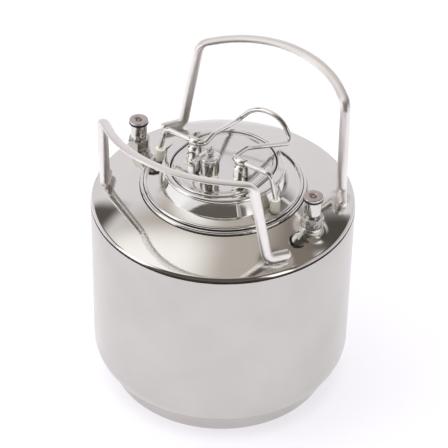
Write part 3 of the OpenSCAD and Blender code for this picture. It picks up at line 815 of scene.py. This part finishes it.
def wstep(value, e0, e1):
    node = wnode("ShaderNodeMapRange", interpolation_type="SMOOTHSTEP")
    node.inputs["From Min"].default_value = e0
    node.inputs["From Max"].default_value = e1
    wt.links.new(value, node.inputs["Value"])
    return node.outputs[0]


def wmix(fac, a, b):
    node = wnode("ShaderNodeMix", data_type="RGBA")
    wt.links.new(fac, node.inputs[0])
    for v, socket in ((a, node.inputs[6]), (b, node.inputs[7])):
        if isinstance(v, tuple):
            socket.default_value = (*v, 1)
        else:
            wt.links.new(v, socket)
    return node.outputs[2]


# directions in the studio: x to the camera's right, y away from the camera, z up
STUDIO_TURN = -34.74
direction = wnode("ShaderNodeMapping", vector_type="VECTOR")
direction.inputs["Rotation"].default_value = (0, 0, math.radians(STUDIO_TURN))
wt.links.new(wnode("ShaderNodeTexCoord").outputs["Generated"], direction.inputs[0])
dxyz = wnode("ShaderNodeSeparateXYZ")
wt.links.new(direction.outputs[0], dxyz.inputs[0])
dx, dy, dz = dxyz.outputs


def softbox(azimuth, elevation, wide, high, soft):
    """A mask for a rectangular panel seen from the keg; azimuth 0 is straight behind it, 90 to its right."""
    a, e = math.radians(azimuth), math.radians(elevation)
    p = Vector((math.sin(a) * math.cos(e), math.cos(a) * math.cos(e), math.sin(e)))
    u = Vector((math.cos(a), -math.sin(a), 0))
    v = u.cross(p)

    def dot(q):
        flat = wmath("ADD", wmath("MULTIPLY", dx, q.x), wmath("MULTIPLY", dy, q.y))
        return wmath("ADD", flat, wmath("MULTIPLY", dz, q.z))

    def within(offset, size):
        half_size = math.tan(math.radians(size / 2))
        return wstep(wmath("ABSOLUTE", wmath("DIVIDE", offset, d)), half_size + soft, half_size - soft)
    d = wmath("MAXIMUM", dot(p), 0.001)
    return wmath("MULTIPLY", wmath("MULTIPLY", within(dot(u), wide), within(dot(v), high)), wstep(d, 0.0, 0.05))


# pale walls, darker to the right, a ceiling that is bright on the left, and a dim room behind the camera
WALL_TONE, REAR_TONE = (0.86, 0.835, 0.86), (0.14, 0.125, 0.11)
light = wmix(wstep(dy, -0.45, 0.05), REAR_TONE, WALL_TONE)
light = wmix(wstep(dx, 0.45, 0.90), light, (0.64, 0.62, 0.645))
bright = wmath("MULTIPLY", wstep(dx, 0.04, -0.22), wstep(dy, 0.56, 0.36))
ceiling = wmix(bright, (0.56, 0.51, 0.468), (0.97, 0.95, 0.91))
ceiling = wmix(wstep(dx, 0.14, 0.32), ceiling, (0.25, 0.215, 0.185))
light = wmix(wstep(dz, 0.62, 0.80), light, ceiling)
light = wmix(wmath("MULTIPLY", wstep(dy, -0.02, -0.30), wstep(dz, 0.35, 0.6)), light, (0.10, 0.09, 0.08))
# windows and dark panels: azimuth, elevation, width, height, softness and tone
PANELS = ((-66, 63, 36, 28, 0.14, (1.20, 1.19, 1.17)), (-58, 38, 44, 11, 0.05, (0.12, 0.10, 0.09)),
          (57, 43, 43, 20, 0.11, (0.09, 0.08, 0.07)), (-104, 24, 30, 46, 0.06, (1.5, 1.5, 1.5)),
          (132, 24, 20, 50, 0.05, (1.4, 1.38, 1.35)), (53, 53, 8, 4, 0.03, (1.0, 1.0, 1.0)))
for azimuth, elevation, wide, high, soft, tone in PANELS:
    light = wmix(softbox(azimuth, elevation, wide, high, soft), light, tone)
# the camera itself sees plain white behind the object
path_node = wnode("ShaderNodeLightPath")
seen = wmix(path_node.outputs["Is Camera Ray"], light, (1.0, 1.0, 1.0))
bg = wnode("ShaderNodeBackground")
wt.links.new(seen, bg.inputs[0])
wt.links.new(wmath("SUBTRACT", 1.0, wmath("MULTIPLY", path_node.outputs["Is Diffuse Ray"], 0.7)), bg.inputs[1])
wt.links.new(bg.outputs[0], wnode("ShaderNodeOutputWorld").inputs[0])


def lamp(name, kind, place, energy, **props):
    """A light that points at the keg and isn't reflected in it."""
    data = bpy.data.lights.new(name, kind)
    data.energy = energy
    for key, value in props.items():
        setattr(data, key, value)
    ob = bpy.data.objects.new(name, data)
    ob.location = place
    ob.rotation_euler = (Vector((0, 0, 0.1)) - Vector(place)).to_track_quat("-Z", "Y").to_euler()
    bpy.context.scene.collection.objects.link(ob)
    ob.visible_glossy = ob.visible_camera = False


lamp("overhead", "AREA", (-0.4, 0.3, 3.2), 20, size=3.5)
lamp("floor_fill", "SUN", (0.0, 0.0, 3.0), 2.6, angle=math.radians(60), use_shadow=False)
lamp("side_fill", "AREA", (-2.2, -1.8, 1.6), 12, size=2.0)

bpy.context.scene.view_settings.view_transform = "Standard"
bpy.context.scene.view_settings.look = "None"
